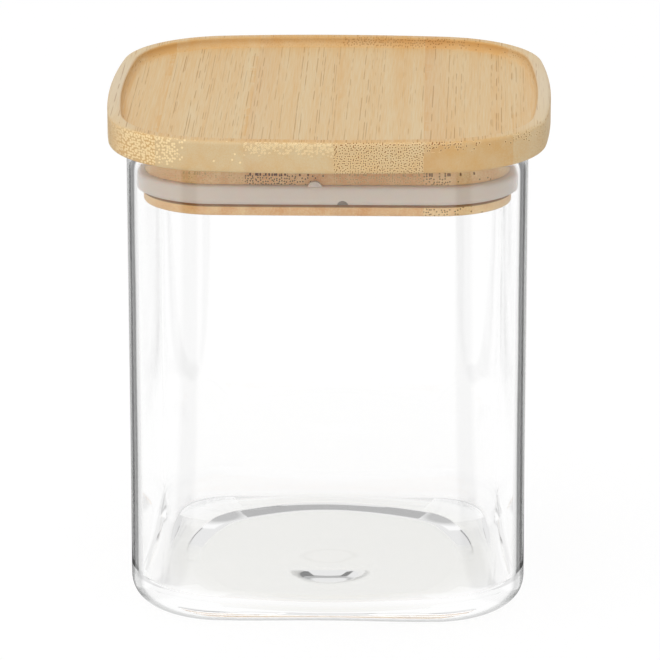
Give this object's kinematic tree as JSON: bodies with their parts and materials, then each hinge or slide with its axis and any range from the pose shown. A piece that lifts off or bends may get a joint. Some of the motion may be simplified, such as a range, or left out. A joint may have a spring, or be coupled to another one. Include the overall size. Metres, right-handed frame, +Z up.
{
  "type": "glass storage jar",
  "caption": "Square clear glass storage jar with round corners and a lift-off bamboo lid: a dished board over a plug that carries a silicone seal ring.",
  "frame": {"origin": "middle of the standing plane under the glass jar", "axes": "+Z up through the lid; the front is -Y; the bamboo fibres run along Y; X is across the glued strips"},
  "size_m": [0.1114, 0.1114, 0.1276],
  "materials": {
    "clear_glass": "clear, fire polished",
    "bamboo": "sanded, thinly oiled",
    "plug_bamboo": "sanded, thinly oiled",
    "silicone": "satin, translucent"
  },
  "bodies": {
    "jar": {"glass_jar": "clear_glass"},
    "lid": {"lid_strip_1": "bamboo", "lid_strip_2": "bamboo", "lid_strip_3": "bamboo", "lid_strip_4": "bamboo", "lid_strip_5": "bamboo", "lid_strip_6": "bamboo", "plug_strip_1": "plug_bamboo", "plug_strip_2": "plug_bamboo", "plug_strip_3": "plug_bamboo", "plug_strip_4": "plug_bamboo", "seal_ring": "silicone"}
  },
  "joints": [
    {"name": "lid_lift", "type": "slide", "parent": "jar", "child": "lid", "axis": [0, 0, 1], "range_m": [0, 0.1]}
  ]
}
